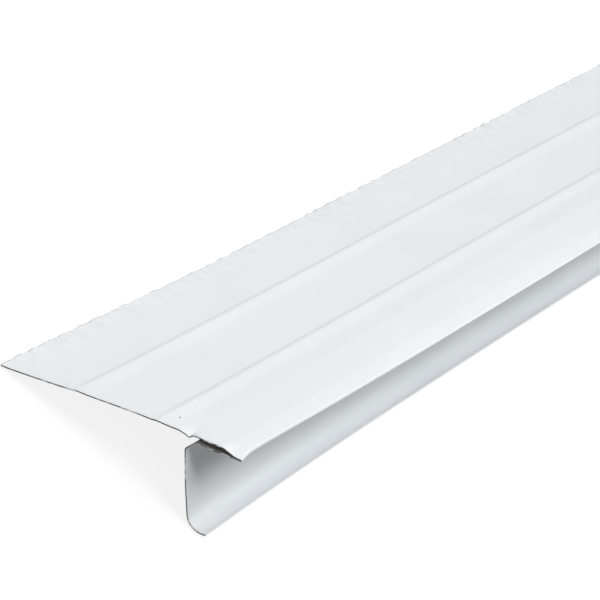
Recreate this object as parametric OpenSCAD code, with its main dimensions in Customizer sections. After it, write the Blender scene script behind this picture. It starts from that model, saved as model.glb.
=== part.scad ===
// Drip edge flashing for the edge of a roof deck: one strip of pre-painted sheet,
// roll-formed to a T section and cut square at both ends.
// It is stored as it lies on a level floor, right side up: on the back edge of the
// roof flange and on the kicked lip of the leg. The length runs along Y and the
// nose points to +X. All sizes are in millimetres.
//
// The section is worked out flat first, with x across the flange from its back edge
// and y upwards from the top face of the flange, and is then leaned to its rest angle.

/* [Stock] */
// Length of the piece
length = 3048; // [150:1:3660]
// Thickness of the sheet
sheet = 0.5; // [0.4:0.05:0.7]

/* [Roof flange] */
// Width of the flange, from the back edge to the outside of the nose
flange_width = 76.2; // [62:0.1:110]
// Crest of the front stiffening bead, back from the outside of the nose
front_bead_setback = 25.8; // [25.2:0.1:32]
// Distance between the crests of the two stiffening beads
bead_spacing = 25.4; // [12:0.1:26]
// Height of a bead's crest above the flange
bead_height = 0.5; // [0.2:0.05:0.8]
// Run of the steep side of a bead, towards the back edge
bead_back_run = 2; // [1.8:0.1:4]
// Run of the gentle side of a bead, towards the nose
bead_front_run = 4; // [3.5:0.1:5]
// Inside radius of the bends at a bead's crest and at the foot of its steep side
bead_inside_radius = 2.25; // [1.5:0.25:2.5]
// Part of the gentle side that the wide bend at its foot takes up
bead_foot_share = 0.75; // [0.3:0.05:0.8]

/* [Nose] */
// Distance that the nose stands out past the back of the leg, at the leg's top
overhang = 17.6; // [14:0.1:20]
// Run of the drooping front strip, back from the nose
droop_run = 16; // [14:0.1:17]
// Run of the steeper last part of the front strip, back from the nose
brow_run = 5.1; // [4:0.1:8]
// Depth of the sheet's mid-line below the flange's mid-line where the brow begins
brow_drop = 0.5; // [0.2:0.05:0.8]
// Inside radius of the two slight bends of the front strip
brow_inside_radius = 6.75; // [3:0.25:9]
// Depth of the sheet's mid-line below the flange's mid-line at the top of the nose
nose_drop = 1.15; // [0.9:0.05:2.2]
// Inside radius of the nose's two bends, which all but close the fold
fold_inside_radius = 0.05; // [0.03:0.01:0.3]
// Flat between the nose's two bends, in addition to twice their radius
fold_flat = 0.02; // [0.02:0.01:0.3]
// Run of the shoulder, from the leg up to where the return sheet all but meets the flange
shoulder_run = 3.8; // [3:0.1:4.5]
// Height of the shoulder above the top of the leg's flat face
shoulder_rise = 3.6; // [2:0.1:5]
// Gap left between the shoulder and the underside of the flange
shoulder_gap = 0.22; // [0.15:0.01:0.5]
// Run over which the return sheet falls from the shoulder to the level of the nose
return_fall_run = 4; // [3.5:0.1:5]
// Inside radius of the bend at the shoulder
shoulder_inside_radius = 0.55; // [0.3:0.05:0.9]
// Inside radius of the slight bend where the return sheet levels out
return_inside_radius = 4.75; // [2:0.25:6]

/* [Leg] */
// Total drop, from the top face of the flange to the underside of the lip
drop = 25.4; // [18:0.1:45]
// Lean of the leg, from square to the flange, in under the roof edge
leg_lean = 2.5; // [0:0.5:8]
// Inside radius of the bend between the shoulder and the leg
leg_inside_radius = 0.95; // [0.5:0.05:2]
// Inside radius of the kicked lip
lip_inside_radius = 3.75; // [2:0.05:6]
// Angle that the lip turns through, outwards and up
lip_turn = 120; // [60:1:140]

/* [Rippled back edge] */
// Mean distance between the ripples
ripple_pitch = 6; // [5:0.1:12]
// Part of the pitch by which a ripple may stand off its even place
ripple_scatter = 0.22; // [0:0.01:0.3]
// Height of the tallest ripples
ripple_height = 0.42; // [0.2:0.01:0.45]
// Part of the height by which the ripples differ
ripple_variation = 0.45; // [0:0.01:0.6]
// Distance over which the ripples fade out from the back edge
ripple_reach = 13; // [8:0.1:16]

/* [Hidden] */
enamel = [0.90, 0.91, 0.92];
// Largest angle between two neighbouring points of a bend, and its fewest steps.
arc_step = 9;
arc_least = 3;
half = sheet / 2;

// Bends and corners of the sheet's mid-line.
bead_radius = bead_inside_radius + half;
bead_foot_radius = bead_foot_share * bead_front_run / tan(atan2(bead_height, bead_front_run) / 2);
brow_radius = brow_inside_radius + half;
fold_radius = fold_inside_radius + half;
leg_bend_radius = leg_inside_radius + half;
shoulder_radius = shoulder_inside_radius + half;
return_radius = return_inside_radius + half;
lip_radius = lip_inside_radius + half;
fold_height = 2 * fold_radius + fold_flat;
front_bead_at = flange_width - front_bead_setback;
back_bead_at = front_bead_at - bead_spacing;
leg_x = flange_width - overhang + half;
nose_x = flange_width - half;
nose_top = -half - nose_drop;
nose_low = nose_top - fold_height;
droop_x = flange_width - droop_run;
brow_x = flange_width - brow_run;
shoulder_x = leg_x + shoulder_run;
droop_at_shoulder = brow_drop * max(0, shoulder_x - droop_x) / (brow_x - droop_x);
shoulder_y = -half - droop_at_shoulder - sheet - shoulder_gap;
return_x = shoulder_x + return_fall_run;
leg_top = shoulder_y - shoulder_rise;
leg_heading = -90 - leg_lean;
lip_centre_y = half + lip_radius - drop;
leg_end_y = lip_centre_y + lip_radius * sin(leg_lean);
leg_end = [leg_x - (leg_top - leg_end_y) * tan(leg_lean), leg_end_y];
lip_centre = [leg_end[0] + lip_radius * cos(leg_lean), lip_centre_y];

// A corner is a point where two straight stretches would meet, and the radius there.
function bead_corners(at) = [
    [at - bead_back_run, -half, bead_radius],
    [at, bead_height - half, bead_radius],
    [at + bead_front_run, -half, bead_foot_radius],
];
corners = concat(
    [[0, -half, 0]],
    bead_corners(back_bead_at),
    bead_corners(front_bead_at),
    [
        [droop_x, -half, brow_radius],
        [brow_x, -half - brow_drop, brow_radius],
        [nose_x, nose_top, fold_radius],
        [nose_x, nose_low, fold_radius],
        [return_x, nose_low, return_radius],
        [shoulder_x, shoulder_y, shoulder_radius],
        [leg_x, leg_top, leg_bend_radius],
        [leg_end[0], leg_end[1], 0],
    ]
);

function heading(a, b) = atan2(b[1] - a[1], b[0] - a[0]);
function turn_between(h1, h2) = (h2 - h1 + 540) % 360 - 180;
function left_of(h) = [-sin(h), cos(h)];

// Points of an arc as [x, y, heading], from point p and heading h0, through turn.
function arc(p, h0, turn, r) =
    let (n = max(arc_least, ceil(abs(turn) / arc_step)), side = turn > 0 ? 1 : -1)
    let (c = p + side * r * left_of(h0))
    [for (i = [0 : n])
        let (h = h0 + turn * i / n, q = c - side * r * left_of(h))
        [q[0], q[1], h]];

// The rounded bend at corner i of a run.
function bend(run, i) =
    let (a = run[i - 1], b = run[i], c = run[i + 1])
    let (h1 = heading(a, b), turn = turn_between(h1, heading(b, c)))
    let (back = b[2] * tan(abs(turn) / 2))
    arc([b[0] - back * cos(h1), b[1] - back * sin(h1)], h1, turn, b[2]);

last_corner = len(corners) - 1;
mid_line = concat(
    [[0, -half, 0]],
    [for (i = [1 : last_corner - 1]) each bend(corners, i)],
    arc(leg_end, leg_heading, lip_turn, lip_radius)
);

// The section's outline: the mid-line set off by half the sheet to each side.
function set_off(d) = [for (p = mid_line) [p[0], p[1]] + d * left_of(p[2])];
upper = set_off(half);
lower = set_off(-half);
outline = concat(upper, [for (i = [len(lower) - 1 : -1 : 0]) lower[i]]);

// Rest angle: the line from the lower back corner that touches the round of the lip.
back_corner = [0, -sheet];
to_lip = lip_centre - back_corner;
rest_angle = asin((lip_radius + half) / norm(to_lip)) - atan2(to_lip[1], to_lip[0]);

function leaned(p) = [
    p[0] * cos(rest_angle) - p[1] * sin(rest_angle),
    p[0] * sin(rest_angle) + p[1] * cos(rest_angle),
];
rest_z = leaned(back_corner)[1];

// Ripples: each has its own place, width and height, from two sines of its number.
ripple_count = floor(length / ripple_pitch) - 1;
function scatter(i) = (sin(i * 137.5) + sin(i * 71.3 + 40)) / 2;
function vary(i) = (1 + sin(i * 101.7 + 20) * sin(i * 47.9)) / 2;
function foot_at(i) = (i + 0.5 + ripple_scatter * scatter(i)) * ripple_pitch;
function crest_at(i) = (foot_at(i) + foot_at(i + 1)) / 2;
function crest_height(i) = ripple_height * (1 - ripple_variation * vary(i));
ripple_line = concat(
    [for (i = [0 : ripple_count - 1]) each [
        [foot_at(i), 0],
        [crest_at(i), crest_height(i)],
    ]],
    [[foot_at(ripple_count), 0]]
);
fade_angle = atan(ripple_height / ripple_reach);

// The middle of the leaned section, across its width, with the tallest ripple.
tallest = max([for (i = [0 : ripple_count - 1]) crest_height(i)]);
leaned_x = [for (p = concat(outline, [[0, tallest]])) leaned(p)[0]];
centre_x = (max(leaned_x) + min(leaned_x)) / 2;

// Run-out of the ripple tool past the back edge, trimmed off again.
spare = 2;

// Wedge under the ripple line, thinning from the back edge to nothing at its reach.
// depth is how far it goes below the line, and level is the height of the line's feet.
module ripple_wedge(level, depth) {
    shape = concat(
        ripple_line,
        [[foot_at(ripple_count), -depth], [foot_at(0), -depth]]
    );
    translate([0, 0, level])
        rotate([0, fade_angle, 0])
            rotate([90, 0, 90])
                translate([0, 0, -spare])
                    linear_extrude(height = ripple_reach + spare)
                        polygon(shape);
}

module section_bar() {
    translate([0, length, 0])
        rotate([90, 0, 0])
            linear_extrude(height = length)
                polygon(outline);
}

module drip_edge() {
    color(enamel)
        translate([-centre_x, -length / 2, -rest_z])
            rotate([0, -rest_angle, 0])
                difference() {
                    union() {
                        section_bar();
                        ripple_wedge(0, 0.02);
                    }
                    ripple_wedge(-sheet, 2);
                    translate([-2 * spare, -1, -spare])
                        cube([2 * spare, length + 2, 2 * spare]);
                }
}

drip_edge();
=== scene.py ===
import math

import bpy
import numpy as np
from mathutils import Matrix, Vector


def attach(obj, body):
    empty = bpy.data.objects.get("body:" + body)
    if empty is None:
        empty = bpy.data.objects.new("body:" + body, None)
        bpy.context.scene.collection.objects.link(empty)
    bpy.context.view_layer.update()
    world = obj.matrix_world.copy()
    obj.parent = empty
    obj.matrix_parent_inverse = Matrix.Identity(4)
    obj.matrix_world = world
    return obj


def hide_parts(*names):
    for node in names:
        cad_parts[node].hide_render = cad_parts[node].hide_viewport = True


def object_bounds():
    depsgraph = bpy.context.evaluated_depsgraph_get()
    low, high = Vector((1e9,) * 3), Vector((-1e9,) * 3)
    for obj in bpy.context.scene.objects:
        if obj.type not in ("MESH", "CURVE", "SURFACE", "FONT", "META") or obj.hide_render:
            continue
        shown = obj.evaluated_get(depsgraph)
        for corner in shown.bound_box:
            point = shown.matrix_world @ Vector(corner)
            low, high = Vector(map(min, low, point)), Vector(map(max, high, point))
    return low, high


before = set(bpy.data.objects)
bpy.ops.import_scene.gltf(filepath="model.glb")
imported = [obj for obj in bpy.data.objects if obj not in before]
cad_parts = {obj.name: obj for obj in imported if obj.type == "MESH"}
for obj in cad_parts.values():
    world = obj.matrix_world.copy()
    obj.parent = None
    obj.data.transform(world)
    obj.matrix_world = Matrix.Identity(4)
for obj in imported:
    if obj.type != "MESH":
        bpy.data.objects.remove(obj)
cad_lo, cad_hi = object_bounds()

# The section is worked out flat and in millimetres, as in the part's source: x runs across the flange from
# its back edge, z up from its top face, and y along the length from the near cut. row_points() then leans
# it to its rest angle and turns it into metres in the frame. Angles are in degrees.

# Sizes of the stock.
LENGTH = 3048.0
SHEET = 0.5
HALF = SHEET / 2
WIDTH = 76.2

# Beads. The photo's shading asks for sides a little steeper than in the part's source, and for a tighter
# bend at the foot of the gentle side.
FRONT_BEAD = WIDTH - 25.8
BACK_BEAD = FRONT_BEAD - 25.4
BEAD_HEIGHT = 0.5
BEAD_BACK_RUN = 1.75
BEAD_FRONT_RUN = 3.7
BEAD_RADIUS = 2.25 + HALF
BEAD_FOOT_SHARE = 0.25

# Drooping front strip, folded nose and return sheet.
DROOP_RUN = 16.0
BROW_RUN = 5.1
BROW_DROP = 0.5
BROW_RADIUS = 6.75 + HALF
NOSE_DROP = 1.15
FOLD_RADIUS = 0.05 + HALF
FOLD_HEIGHT = 2 * FOLD_RADIUS + 0.02
RETURN_FALL_RUN = 4.0
RETURN_RADIUS = 4.75 + HALF
SHOULDER_RUN = 3.8
SHOULDER_RISE = 3.6
SHOULDER_GAP = 0.22
SHOULDER_RADIUS = 0.55 + HALF

# Leg and lip.
OVERHANG = 17.6
DROP = 25.4
LEG_LEAN = 2.5
LEG_RADIUS = 0.95 + HALF
LIP_RADIUS = 3.75 + HALF
LIP_TURN = 120.0

# Ripples of the back edge.
PITCH = 6.0
SCATTER = 0.22
RIPPLE = 0.42
VARIATION = 0.45
REACH = 13.0


def sin(degrees):
    return math.sin(math.radians(degrees))


def cos(degrees):
    return math.cos(math.radians(degrees))


# Places of the mid-line's corners.
leg_x = WIDTH - OVERHANG + HALF
nose_x = WIDTH - HALF
nose_top = -HALF - NOSE_DROP
nose_low = nose_top - FOLD_HEIGHT
droop_x = WIDTH - DROOP_RUN
brow_x = WIDTH - BROW_RUN
shoulder_x = leg_x + SHOULDER_RUN
droop_at_shoulder = BROW_DROP * (shoulder_x - droop_x) / (brow_x - droop_x)
shoulder_z = -HALF - droop_at_shoulder - SHEET - SHOULDER_GAP
return_x = shoulder_x + RETURN_FALL_RUN
leg_top = shoulder_z - SHOULDER_RISE
lip_centre_z = HALF + LIP_RADIUS - DROP
leg_end_z = lip_centre_z + LIP_RADIUS * sin(LEG_LEAN)
leg_end_x = leg_x - (leg_top - leg_end_z) * math.tan(math.radians(LEG_LEAN))
lip_centre_x = leg_end_x + LIP_RADIUS * cos(LEG_LEAN)


def bead_corners(at):
    foot_turn = math.atan2(BEAD_HEIGHT, BEAD_FRONT_RUN)
    foot_radius = BEAD_FOOT_SHARE * BEAD_FRONT_RUN / math.tan(foot_turn / 2)
    return [
        (at - BEAD_BACK_RUN, -HALF, BEAD_RADIUS),
        (at, BEAD_HEIGHT - HALF, BEAD_RADIUS),
        (at + BEAD_FRONT_RUN, -HALF, foot_radius),
    ]


# A corner is a point where two straight stretches would meet, and the radius there.
corners = [(0, -HALF, 0)] + bead_corners(BACK_BEAD) + bead_corners(FRONT_BEAD) + [
    (droop_x, -HALF, BROW_RADIUS),
    (brow_x, -HALF - BROW_DROP, BROW_RADIUS),
    (nose_x, nose_top, FOLD_RADIUS),
    (nose_x, nose_low, FOLD_RADIUS),
    (return_x, nose_low, RETURN_RADIUS),
    (shoulder_x, shoulder_z, SHOULDER_RADIUS),
    (leg_x, leg_top, LEG_RADIUS),
    (leg_end_x, leg_end_z, 0),
]

# Largest angle between neighbouring points of a bend, for wide, middling and tight bends and for the lip.
WIDE_RADIUS = 20
MIDDLING_RADIUS = 3
WIDE_STEP = 1
MIDDLING_STEP = 2.5
TIGHT_STEP = 12
LIP_STEP = 6

# Spacing of the columns on straight stretches, closer on the front strip, which is bent most near the cut.
PLAIN_SPACING = 3
FRONT_SPACING = 1.2
FRONT_FROM = 55
LEG_COLUMNS = 6
# Columns of the rippled back strip, closest at its edge, and between the strip and the back bead.
STRIP_COLUMNS = (0, 0.16, 0.9, 2, 3.3, 4.8, 6.5, 8.3, 10.2, 12.1, 13.6)
BEHIND_BEAD_COLUMNS = 2


def arc(start, heading, turn, radius, step):
    """Points of an arc as (x, z, heading), from the point start through the angle turn."""
    count = max(2, math.ceil(abs(turn) / step))
    side = 1 if turn > 0 else -1
    centre_x = start[0] - side * radius * sin(heading)
    centre_z = start[1] + side * radius * cos(heading)
    points = []
    for i in range(count + 1):
        h = heading + turn * i / count
        points.append((centre_x + side * radius * sin(h), centre_z - side * radius * cos(h), h))
    return points


def bend(i):
    """The rounded bend at corner i."""
    a, b, c = corners[i - 1:i + 2]
    heading = math.degrees(math.atan2(b[1] - a[1], b[0] - a[0]))
    next_heading = math.degrees(math.atan2(c[1] - b[1], c[0] - b[0]))
    turn = (next_heading - heading + 540) % 360 - 180
    radius = b[2]
    back = radius * math.tan(math.radians(abs(turn) / 2))
    step = WIDE_STEP if radius > WIDE_RADIUS else MIDDLING_STEP if radius > MIDDLING_RADIUS else TIGHT_STEP
    return arc((b[0] - back * cos(heading), b[1] - back * sin(heading)), heading, turn, radius, step)


def between(p, q, count):
    """Points, count of them, strictly between two points of a straight stretch, with the heading at q."""
    steps = [k / (count + 1) for k in range(1, count + 1)]
    return [(p[0] + (q[0] - p[0]) * s, p[1] + (q[1] - p[1]) * s, q[2]) for s in steps]


def body_columns():
    """The mid-line's points past the rippled strip, by way of both beads and the nose to the lip's end."""
    first_bend = bend(1)
    columns = between((STRIP_COLUMNS[-1], -HALF, 0.0), first_bend[0], BEHIND_BEAD_COLUMNS) + first_bend
    for i in range(2, len(corners) - 1):
        last = columns[-1]
        curve = bend(i)
        forward = last[0] < curve[0][0]
        spacing = FRONT_SPACING if forward and last[0] > FRONT_FROM else PLAIN_SPACING
        columns += between(last, curve[0], int(math.dist(last[:2], curve[0][:2]) / spacing))
        columns += curve
    lip = arc((leg_end_x, leg_end_z), -90 - LEG_LEAN, LIP_TURN, LIP_RADIUS, LIP_STEP)
    return columns + between(columns[-1], lip[0], LEG_COLUMNS) + lip


strip = np.array([(x, -HALF, 0.0) for x in STRIP_COLUMNS])
body = np.array(body_columns())
# The flange and front strip end at the first column that comes this near to the outside of the fold.
NEAR_FOLD = 0.02
strip_is_top = np.ones(len(strip), bool)
body_is_top = np.arange(len(body)) < np.argmax(body[:, 0] > nose_x - NEAR_FOLD)


# Ripples, at the places and heights that the part's source gives them.
def foot_at(i):
    return (i + 0.5 + SCATTER * (sin(i * 137.5) + sin(i * 71.3 + 40)) / 2) * PITCH


def crest_height(i):
    return RIPPLE * (1 - VARIATION * (1 + sin(i * 101.7 + 20) * sin(i * 47.9)) / 2)


# Stations along the length: eight to a ripple where the photo sees them, and four further on.
SEEN_LENGTH = 330
SEEN_PARTS = 8
UNSEEN_PARTS = 4
END_STATIONS = (0.0, 0.15, 0.3)


def ripple_stations():
    """Fine stations and the height of the ripples' line at each, from cut to cut."""
    count = int(LENGTH // PITCH) - 1
    stations = list(END_STATIONS) + [1.0]
    heights = [0.0] * len(stations)
    for i in range(count):
        start, end = foot_at(i), foot_at(i + 1)
        parts = SEEN_PARTS if start < SEEN_LENGTH else UNSEEN_PARTS
        for k in range(parts):
            stations.append(start + (end - start) * k / parts)
            heights.append(crest_height(i) * (1 - math.cos(2 * math.pi * k / parts)) / 2)
    stations += [foot_at(count)] + [LENGTH - y for y in reversed(END_STATIONS)]
    heights += [0.0] * (1 + len(END_STATIONS))
    return stations, heights


def coarse_step(y):
    """Distance to the next coarse station: short close to the ends, where the sheet is bent."""
    from_end = min(y, LENGTH - y)
    for reach, step in ((0.5, 0.1), (8, 0.7), (60, 3), (SEEN_LENGTH, 7)):
        if from_end < reach:
            return step
    return 60


fine, ripple_heights = ripple_stations()
coarse = [0]
for j in range(1, len(fine)):
    if fine[j] - fine[coarse[-1]] >= coarse_step(fine[j]) or j == len(fine) - 1:
        coarse.append(j)

# Rest pose: the flange leans until back edge and lip both touch the floor, and the tallest ripple stands
# at the back of the CAD model's box.
to_lip = (lip_centre_x, lip_centre_z + SHEET)
touch_angle = math.degrees(math.asin((LIP_RADIUS + HALF) / math.hypot(*to_lip)))
LEAN = touch_angle - math.degrees(math.atan2(to_lip[1], to_lip[0]))
REST_Z = -SHEET * cos(LEAN)
MID_X = -cad_lo[0] * 1000 - max(ripple_heights) * sin(LEAN)


def row_points(x, z, y):
    """Section points in millimetres to the frame in metres."""
    across = x * cos(LEAN) - z * sin(LEAN) - MID_X
    up = x * sin(LEAN) + z * cos(LEAN) - REST_Z
    return np.column_stack([across, np.full(len(x), y - LENGTH / 2), up]) / 1000


def row_point(x, z, y):
    return row_points(np.array([x]), np.array([z]), y)[0]


def flange_dir(across, along, up):
    """A direction given across the flange, along the length and away from the flange's face, in the frame."""
    return Vector((across * cos(LEAN) - up * sin(LEAN), along, across * sin(LEAN) + up * cos(LEAN)))


# Bending of the thin sheet, in millimetres, with each function giving what it adds to x and z.
# Ripples: the share of them that fades evenly, and the slight turning up of the back edge itself.
EVEN_FADE = 0.85
EDGE_TURN_UP = 0.12
EDGE_TURN_UP_REACH = 2.5

# Bow of the flange between its back edge and the nose, with its middle and reach along the length, and a
# wider bow of the back strip alone.
BOW_AT = (0, 25, 50, 76)
BOW = (1.15, 0.4, 0.3, 0.0)
BOW_MIDDLE = 85
BOW_REACH = 48
STRIP_BOW_AT = (0, 25)
STRIP_BOW = (0.85, 0.0)
STRIP_BOW_MIDDLE = 150
STRIP_BOW_REACH = 110

# Lift of the flange's last millimetres, and the share of their height that the beads lose there.
END_LIFT_AT = (0, 12, 25, 34, 45, 50, 60)
END_LIFT = (0.2, 0.4, 0.80, 0.88, 0.9, 0.72, 0.2)
END_LIFT_REACH = 12
BEAD_FLATTENING = 0.6
BEAD_FLATTENING_REACH = 5

# The blade's marks: a dent beside the leg and a lift past it, and the pull on the tip of the nose, which is
# stronger on the front strip than on the return sheet.
SHEAR_AT = (50, 57.5, 59.2, 60.4, 61.8, 63.5, 69, 74, 75.9)
SHEAR_LIFT = (0.0, 0.25, -0.15, -0.55, 0.42, 0.34, 0.22, 0.02, 0.40)
SHEAR_REACH = 2.6
TIP_FROM = 70.8
TIP_RUN = 5
TIP_CURVE = 0.8
TIP_PULL_FRONT = 1.15
TIP_PULL_RETURN = 0.35

# The nose, past the line that it bends about, springs back and up at the near end and sags further on.
NOSE_BENDS_FROM = 60.5
NOSE_BACK = 1.1
NOSE_BACK_RISE = 4
NOSE_BACK_REACH = 45
NOSE_UP = 1.05
NOSE_UP_REACH = 70
NOSE_UP_CURVE = 1.2
NOSE_SAG = 0.75

# The leg: its swing at the ends and in between them, the little that goes with it above its top bend, the
# lift of that bend, and the rise and fall of the lip that the swing brings. LEG_MAX_X tells the leg from the
# nose, and LEG_TOP_MAX_X tells its top bend from the shoulder.
ENDS_REACH = 60
LEG_MAX_X = 70
LEG_TOP_MAX_X = shoulder_x - 1
LEG_SWING = 2.8
LEG_SET_IN = 1.0
SHOULDER_SWING = 0.3
LEG_TOP_LIFT = 0.6
LEG_TOP_RUN = 3
LIP_RISE = 0.41
LIP_FALL = 0.85
# It curls back at the very cut.
LEG_CURL = 0.32
LEG_CURL_REACH = 4.5

# The lip opens by up to this angle over the stretch past this heading, and gives way a little with it.
LIP_OPENING = 18
LIP_OPENS_FROM = -17.5
LIP_OPENS_OVER = 45
LIP_OUT = 0.12
LIP_DOWN = 0.48


def hump(y, middle, reach):
    """1 at the middle, fading over the reach to both sides."""
    return math.exp(-((y - middle) / reach) ** 2)


def ripple_lift(x, ripple):
    fade = np.clip(1 - x / REACH, 0, 1)
    lift = ripple * fade * (EVEN_FADE + (1 - EVEN_FADE) * fade)
    return lift + EDGE_TURN_UP * np.exp(-x / EDGE_TURN_UP_REACH)


def flange_bend(x, z, y):
    strip_bow = hump(y, STRIP_BOW_MIDDLE, STRIP_BOW_REACH) * np.interp(x, STRIP_BOW_AT, STRIP_BOW)
    dx = hump(y, BOW_MIDDLE, BOW_REACH) * np.interp(x, BOW_AT, BOW) + strip_bow * cos(LEAN)
    dz = math.exp(-y / END_LIFT_REACH) * np.interp(x, END_LIFT_AT, END_LIFT) - strip_bow * sin(LEAN)
    bead = np.clip(z + HALF, 0, None)
    dz -= BEAD_FLATTENING * bead * hump(y, 0, BEAD_FLATTENING_REACH)
    dz += hump(y, 0, SHEAR_REACH) * np.interp(x, SHEAR_AT, SHEAR_LIFT)
    return dx, dz


def nose_bend(x, y, is_top):
    out = np.clip((x - NOSE_BENDS_FROM) / (nose_x - NOSE_BENDS_FROM), 0, 1)
    dx = -NOSE_BACK * out * (1 - math.exp(-y / NOSE_BACK_RISE)) * math.exp(-y / NOSE_BACK_REACH)
    dz = out ** NOSE_UP_CURVE * (NOSE_UP * math.exp(-y / NOSE_UP_REACH) - NOSE_SAG)
    tip = np.clip((x - TIP_FROM) / TIP_RUN, 0, 1) ** TIP_CURVE
    dz -= np.where(is_top, TIP_PULL_FRONT, TIP_PULL_RETURN) * tip * hump(y, 0, SHEAR_REACH)
    return dx, dz


def leg_bend(x, z, y):
    ends = math.exp(-y / ENDS_REACH) + math.exp(-(LENGTH - y) / ENDS_REACH)
    down = np.clip((shoulder_z - z) / (shoulder_z - lip_centre_z), 0, 1) * (x < LEG_MAX_X)
    dx = down * (LEG_SWING * ends - LEG_SET_IN) + SHOULDER_SWING * ends * (x < shoulder_x)
    dx -= LEG_CURL * np.sin(np.pi * down) * hump(y, 0, LEG_CURL_REACH)
    leg_top_bend = np.clip(1 - abs(z - leg_top) / LEG_TOP_RUN, 0, 1) * (x < LEG_TOP_MAX_X)
    dz = LEG_TOP_LIFT * ends * leg_top_bend + down ** 2 * (LIP_RISE - LIP_FALL * ends)
    return dx, dz


def shaped(columns, is_top, y, ripple):
    """The mid-line's columns at distance y from the near cut, bent as thin sheet is: x, z and heading."""
    x, z, heading = columns.T
    flange_dx, flange_dz = flange_bend(x, z, y)
    nose_dx, nose_dz = nose_bend(x, y, is_top)
    leg_dx, leg_dz = leg_bend(x, z, y)
    above_leg = z > leg_top
    dx = flange_dx * is_top + nose_dx * above_leg + leg_dx * ~is_top
    dz = (flange_dz + ripple_lift(x, ripple)) * is_top + nose_dz * above_leg + leg_dz * ~is_top
    opened = np.clip((heading - LIP_OPENS_FROM) / LIP_OPENS_OVER, 0, 1) * (z < lip_centre_z)
    dx += LIP_OUT * opened ** 2
    dz -= LIP_DOWN * opened ** 2
    return x + dx, z + dz, heading - LIP_OPENING * opened


# The shear rolls the enamel over the cut a little, which thins the bare edge.
ROLL_OVER = 0.16
ROLL_RUN = 0.3

points = []
faces = []
face_materials = []
ENAMEL, CUT, REVERSE = 0, 1, 2


def ring(columns, is_top, y, ripple):
    """Adds the upper and lower points of these columns at a station, and returns their numbers."""
    x, z, heading = shaped(columns, is_top, y, ripple)
    from_end = min(y, LENGTH - y)
    upper = HALF - ROLL_OVER * max(0.0, 1 - from_end / ROLL_RUN)
    left_x, left_z = -np.sin(np.radians(heading)), np.cos(np.radians(heading))
    count = len(x)
    start = len(points)
    points.extend(row_points(x + upper * left_x, z + upper * left_z, y))
    points.extend(row_points(x - HALF * left_x, z - HALF * left_z, y))
    return range(start, start + count), range(start + count, start + 2 * count)


def add_face(numbers, surface):
    faces.append(tuple(numbers))
    face_materials.append(surface)


def skin(ring_a, ring_b):
    """Faces of both sides of the sheet between two stations."""
    (upper_a, lower_a), (upper_b, lower_b) = ring_a, ring_b
    for k in range(len(upper_a) - 1):
        add_face((upper_a[k], upper_a[k + 1], upper_b[k + 1], upper_b[k]), ENAMEL)
        add_face((lower_a[k], lower_b[k], lower_b[k + 1], lower_a[k + 1]), REVERSE)


def join_strip(a, b):
    """The flat stretch between the strip's fine stations a to b and the body's two coarse ones."""
    middle = (a + b) // 2 - a
    for side, surface in ((0, ENAMEL), (1, REVERSE)):
        start, end = body_rings[a][side][0], body_rings[b][side][0]
        edge = [strip_rings[j][side][-1] for j in range(a, b + 1)]
        fan = [(start, edge[j], edge[j + 1]) for j in range(middle)]
        fan.append((start, edge[middle], end))
        fan += [(end, edge[j], edge[j + 1]) for j in range(middle, b - a)]
        for p, q, r in fan:
            add_face((p, r, q) if surface == ENAMEL else (p, q, r), surface)


def close_end(j, turned):
    """The cut face at station j."""
    upper = [*strip_rings[j][0], *body_rings[j][0]]
    lower = [*strip_rings[j][1], *body_rings[j][1]]
    for k in range(len(upper) - 1):
        face = (upper[k], lower[k], lower[k + 1], upper[k + 1])
        add_face(face[::-1] if turned else face, CUT)


strip_rings = [ring(strip, strip_is_top, y, ripple) for y, ripple in zip(fine, ripple_heights)]
body_rings = {j: ring(body, body_is_top, fine[j], 0.0) for j in coarse}
for ring_a, ring_b in zip(strip_rings, strip_rings[1:]):
    first_face = len(faces)
    skin(ring_a, ring_b)
    # The first column of the top is bare, where the slitter cut the strip.
    face_materials[first_face] = CUT
    add_face((ring_a[0][0], ring_b[0][0], ring_b[1][0], ring_a[1][0]), ENAMEL)
for a, b in zip(coarse, coarse[1:]):
    ring_a, ring_b = body_rings[a], body_rings[b]
    skin(ring_a, ring_b)
    add_face((ring_a[0][-1], ring_a[1][-1], ring_b[1][-1], ring_b[0][-1]), ENAMEL)
    join_strip(a, b)
close_end(coarse[0], False)
close_end(coarse[-1], True)

# Edges that turn by more than this stay sharp.
SHARP_ANGLE = 40

mesh = bpy.data.meshes.new("flashing")
mesh.from_pydata(np.clip(np.array(points), cad_lo, cad_hi).tolist(), [], faces)
mesh.polygons.foreach_set("material_index", face_materials)
mesh.polygons.foreach_set("use_smooth", [True] * len(faces))
mesh.update()
mesh.validate()
flashing = bpy.data.objects.new("flashing", mesh)
bpy.context.scene.collection.objects.link(flashing)
mesh.set_sharp_from_angle(angle=math.radians(SHARP_ANGLE))


def grey(value):
    return (value, value, value)


def new_material(name):
    """An empty node material: the material, its tree and its output node."""
    material = bpy.data.materials.new(name)
    material.use_nodes = True
    tree = material.node_tree
    for node in list(tree.nodes):
        tree.nodes.remove(node)
    return material, tree, tree.nodes.new("ShaderNodeOutputMaterial")


def surface_material(name):
    """A material with one main shader: the material, its tree, the shader and the object's coordinates."""
    material, tree, output = new_material(name)
    shader = tree.nodes.new("ShaderNodeBsdfPrincipled")
    tree.links.new(shader.outputs[0], output.inputs[0])
    return material, tree, shader, tree.nodes.new("ShaderNodeTexCoord").outputs["Object"]


def ramp(tree, factor, stops):
    node = tree.nodes.new("ShaderNodeValToRGB")
    elements = node.color_ramp.elements
    while len(elements) < len(stops):
        elements.new(0.5)
    for element, (position, color) in zip(elements, stops):
        element.position = position
        element.color = (*color, 1)
    tree.links.new(factor, node.inputs[0])
    return node.outputs[0]


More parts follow.
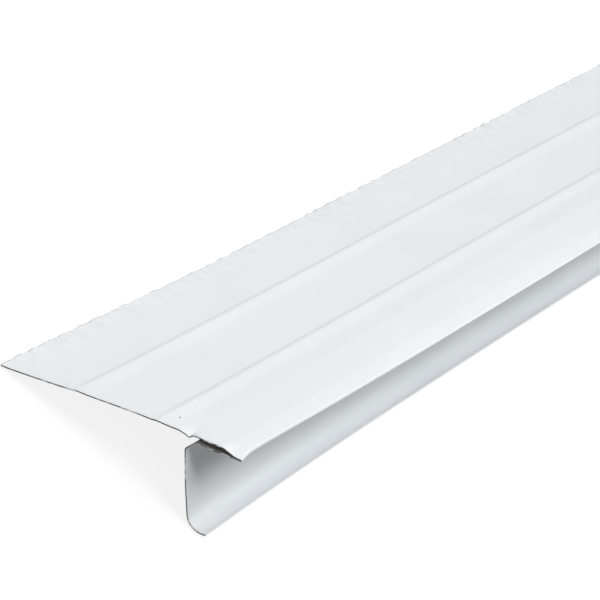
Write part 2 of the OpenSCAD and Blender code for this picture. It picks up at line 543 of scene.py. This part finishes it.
def noise(tree, vector, scale, detail, roughness=0.5):
    node = tree.nodes.new("ShaderNodeTexNoise")
    node.inputs["Scale"].default_value = scale
    node.inputs["Detail"].default_value = detail
    node.inputs["Roughness"].default_value = roughness
    tree.links.new(vector, node.inputs["Vector"])
    return node.outputs["Fac"]


def stretched(tree, vector, scale):
    node = tree.nodes.new("ShaderNodeMapping")
    node.inputs["Scale"].default_value = scale
    tree.links.new(vector, node.inputs["Vector"])
    return node.outputs[0]


def calculation(tree, operation, first, second):
    """A math node. Its second input is a number or another node's output."""
    node = tree.nodes.new("ShaderNodeMath")
    node.operation = operation
    tree.links.new(first, node.inputs[0])
    if isinstance(second, float):
        node.inputs[1].default_value = second
    else:
        tree.links.new(second, node.inputs[1])
    return node.outputs[0]


def falling(tree, value, full_at, none_at, interpolation="LINEAR"):
    """1 up to full_at, falling to 0 at none_at."""
    node = tree.nodes.new("ShaderNodeMapRange")
    node.interpolation_type = interpolation
    node.inputs["From Min"].default_value = full_at
    node.inputs["From Max"].default_value = none_at
    node.inputs["To Min"].default_value = 1.0
    node.inputs["To Max"].default_value = 0.0
    tree.links.new(value, node.inputs["Value"])
    return node.outputs[0]


def bump(tree, height, strength, distance, under=None):
    """A bump of this height, laid over another one where under is given."""
    node = tree.nodes.new("ShaderNodeBump")
    node.inputs["Strength"].default_value = strength
    node.inputs["Distance"].default_value = distance
    tree.links.new(height, node.inputs["Height"])
    if under is not None:
        tree.links.new(under, node.inputs["Normal"])
    return node.outputs[0]


# The one dark speck that the photo shows near the cut, and its radius, solid and at its edge, in metres.
SPECK_AT = row_point(53.5, 0.45, 5.2)
SPECK_SOLID = 0.00020
SPECK_EDGE = 0.00034
# Across the frame in metres: the streaks are full half a millimetre in from the back edge and gone 11 mm in.
STREAKS_FULL_X = -0.0352
STREAKS_GONE_X = -0.0245


def speckled(tree, coordinates, color):
    """The colour with the speck on it."""
    distance = tree.nodes.new("ShaderNodeVectorMath")
    distance.operation = "DISTANCE"
    tree.links.new(coordinates, distance.inputs[0])
    distance.inputs[1].default_value = tuple(SPECK_AT)
    mix = tree.nodes.new("ShaderNodeMix")
    mix.data_type = "RGBA"
    tree.links.new(falling(tree, distance.outputs["Value"], SPECK_SOLID, SPECK_EDGE), mix.inputs["Factor"])
    tree.links.new(color, mix.inputs["A"])
    mix.inputs["B"].default_value = (0.10, 0.10, 0.12, 1)
    return mix.outputs["Result"]


def white_enamel():
    """White coil enamel: satin, with a faint drift of tone, fine peel and the fine drawn lines of the rolls.
    Streaks cross the back strip, where the shear's crimping fades out."""
    material, tree, shader, coordinates = surface_material("white_enamel")
    shader.inputs["Specular IOR Level"].default_value = 0.3
    cloud = noise(tree, coordinates, scale=28, detail=4, roughness=0.55)
    tone = ramp(tree, cloud, [(0.3, (0.800, 0.826, 0.848)), (0.7, (0.824, 0.848, 0.868))])
    tree.links.new(speckled(tree, coordinates, tone), shader.inputs["Base Color"])
    lines = noise(tree, stretched(tree, coordinates, (900, 12, 900)), scale=1, detail=2)
    satin = ramp(tree, lines, [(0.3, grey(0.42)), (0.7, grey(0.50))])
    tree.links.new(satin, shader.inputs["Roughness"])

    place = tree.nodes.new("ShaderNodeSeparateXYZ")
    tree.links.new(coordinates, place.inputs[0])
    on_strip = falling(tree, place.outputs["X"], STREAKS_FULL_X, STREAKS_GONE_X, "SMOOTHSTEP")
    streak = noise(tree, stretched(tree, coordinates, (90, 330, 90)), scale=1, detail=2)
    about_zero = calculation(tree, "SUBTRACT", streak, 0.5)
    streak_height = calculation(tree, "MULTIPLY", about_zero, on_strip)
    streaks = bump(tree, streak_height, strength=1.0, distance=0.0014)
    peel_height = noise(tree, coordinates, scale=900, detail=2)
    peel = bump(tree, peel_height, strength=0.06, distance=0.0001, under=streaks)
    drawn = bump(tree, lines, strength=0.10, distance=0.0002, under=peel)
    tree.links.new(drawn, shader.inputs["Normal"])
    return material


def cut_edge():
    """Sheared edge: bare sheet, smeared and dulled by the blade. Its near-black stretches are painted shade
    on the cut face, and its light ones are the bare metal's own colour.
    """
    material, tree, shader, coordinates = surface_material("cut_edge")
    shader.inputs["Metallic"].default_value = 0.35
    smear_and_shade = noise(tree, stretched(tree, coordinates, (130, 400, 130)), scale=1, detail=4, roughness=0.6)
    # Painted shade: the near-black and dark grey stops stand in for the shade that falls on the cut face, and
    # the pale stop is the bare metal.
    tone = ramp(tree, smear_and_shade, [
        (0.42, (0.02, 0.021, 0.021)),
        (0.50, (0.12, 0.123, 0.123)),
        (0.58, (0.85, 0.86, 0.86)),
    ])
    tree.links.new(tone, shader.inputs["Base Color"])
    dullness = ramp(tree, smear_and_shade, [(0.3, grey(0.65)), (0.7, grey(0.45))])
    tree.links.new(dullness, shader.inputs["Roughness"])
    tree.links.new(bump(tree, smear_and_shade, strength=0.3, distance=0.0001), shader.inputs["Normal"])
    return material


def wash_coat():
    """Reverse side: a thin dull wash coat over the metal, streaked along the coil."""
    material, tree, shader, coordinates = surface_material("wash_coat")
    shader.inputs["Roughness"].default_value = 0.55
    shader.inputs["Specular IOR Level"].default_value = 0.3
    streaks = noise(tree, stretched(tree, coordinates, (500, 6, 500)), scale=1, detail=4, roughness=0.6)
    tone = ramp(tree, streaks, [(0.3, (0.40, 0.385, 0.36)), (0.7, (0.48, 0.465, 0.44))])
    tree.links.new(tone, shader.inputs["Base Color"])
    return material


# In the order of ENAMEL, CUT and REVERSE.
mesh.materials.append(white_enamel())
mesh.materials.append(cut_edge())
mesh.materials.append(wash_coat())
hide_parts("drip_edge")
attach(flashing, "root")

# Floor: half its side, and how far it lies under the part, in metres.
FLOOR_REACH = 12.0
FLOOR_BELOW = 0.00005


def floor_white():
    """Plain and pale: white to the camera and in reflections, and it keeps the object's shadow."""
    material, tree, output = new_material("floor_white")
    plain = tree.nodes.new("ShaderNodeBsdfDiffuse")
    plain.inputs["Color"].default_value = (*grey(0.18), 1)
    glow = tree.nodes.new("ShaderNodeEmission")
    glow.inputs["Color"].default_value = (*grey(1), 1)
    glow.inputs["Strength"].default_value = 0.86
    lit = tree.nodes.new("ShaderNodeAddShader")
    tree.links.new(plain.outputs[0], lit.inputs[0])
    tree.links.new(glow.outputs[0], lit.inputs[1])
    rays = tree.nodes.new("ShaderNodeLightPath").outputs
    seen = calculation(tree, "MAXIMUM", rays["Is Camera Ray"], rays["Is Glossy Ray"])
    seen = calculation(tree, "MAXIMUM", seen, rays["Is Transmission Ray"])
    choice = tree.nodes.new("ShaderNodeMixShader")
    tree.links.new(seen, choice.inputs[0])
    tree.links.new(plain.outputs[0], choice.inputs[1])
    tree.links.new(lit.outputs[0], choice.inputs[2])
    tree.links.new(choice.outputs[0], output.inputs[0])
    return material


floor_mesh = bpy.data.meshes.new("floor")
floor_corners = [(x * FLOOR_REACH, y * FLOOR_REACH, 0) for x, y in ((-1, -1), (1, -1), (1, 1), (-1, 1))]
floor_mesh.from_pydata(floor_corners, [], [(0, 1, 2, 3)])
floor_mesh.materials.append(floor_white())
floor = bpy.data.objects.new("floor", floor_mesh)
bpy.context.scene.collection.objects.link(floor)
floor.location.z = -FLOOR_BELOW


def studio_sky():
    """A weak even sky, which the camera sees as plain white."""
    world = bpy.data.worlds.new("studio")
    bpy.context.scene.world = world
    world.use_nodes = True
    tree = world.node_tree
    sky = tree.nodes["Background"]
    sky.inputs["Color"].default_value = (0.95, 0.98, 1.0, 1)
    sky.inputs["Strength"].default_value = 0.27
    white = tree.nodes.new("ShaderNodeBackground")
    white.inputs["Color"].default_value = (*grey(1), 1)
    white.inputs["Strength"].default_value = 1.0
    choice = tree.nodes.new("ShaderNodeMixShader")
    seen = tree.nodes.new("ShaderNodeLightPath").outputs["Is Camera Ray"]
    tree.links.new(seen, choice.inputs[0])
    tree.links.new(sky.outputs[0], choice.inputs[1])
    tree.links.new(white.outputs[0], choice.inputs[2])
    tree.links.new(choice.outputs[0], tree.nodes["World Output"].inputs["Surface"])


def soft_light(name, towards, strength, angle):
    """A soft far lamp that stands in the direction towards, given as flange_dir() takes it."""
    lamp = bpy.data.lights.new(name, "SUN")
    lamp.energy = strength
    lamp.angle = math.radians(angle)
    holder = bpy.data.objects.new(name, lamp)
    bpy.context.scene.collection.objects.link(holder)
    holder.rotation_mode = "QUATERNION"
    holder.rotation_quaternion = (-flange_dir(*towards)).to_track_quat("-Z", "Y")


# Plain soft studio light: a key from the nose's side, a broad one from above, and a weak one from the back.
studio_sky()
soft_light("key", towards=(0.72, -0.09, 0.665), strength=1.86, angle=28)
soft_light("top", towards=(0.30, 0.50, 0.86), strength=1.04, angle=44)
soft_light("back", towards=(-0.45, 0.10, 0.89), strength=0.32, angle=44)

# Camera, as the photograph sees the near cut end: its place in the section's millimetres, the directions to
# the right and up in its picture as flange_dir() takes them, and its lens.
CAMERA_AT = row_point(376.6586, 271.15096, -417.1)
PICTURE_RIGHT = flange_dir(0.81521, 0.57803, 0.03627)
PICTURE_UP = flange_dir(-0.26389, 0.31496, 0.91168)
LENS = 147.0
SENSOR = 36.0

camera_data = bpy.data.cameras.new("camera")
camera_data.lens = LENS
camera_data.sensor_width = SENSOR
camera_data.clip_start = 0.01
camera_data.clip_end = 50
camera = bpy.data.objects.new("camera", camera_data)
bpy.context.scene.collection.objects.link(camera)
camera_axes = Matrix((PICTURE_RIGHT, PICTURE_UP, PICTURE_RIGHT.cross(PICTURE_UP))).transposed()
camera.matrix_world = Matrix.Translation(CAMERA_AT) @ camera_axes.to_4x4()
bpy.context.scene.camera = camera
bpy.context.scene.view_settings.view_transform = "Standard"
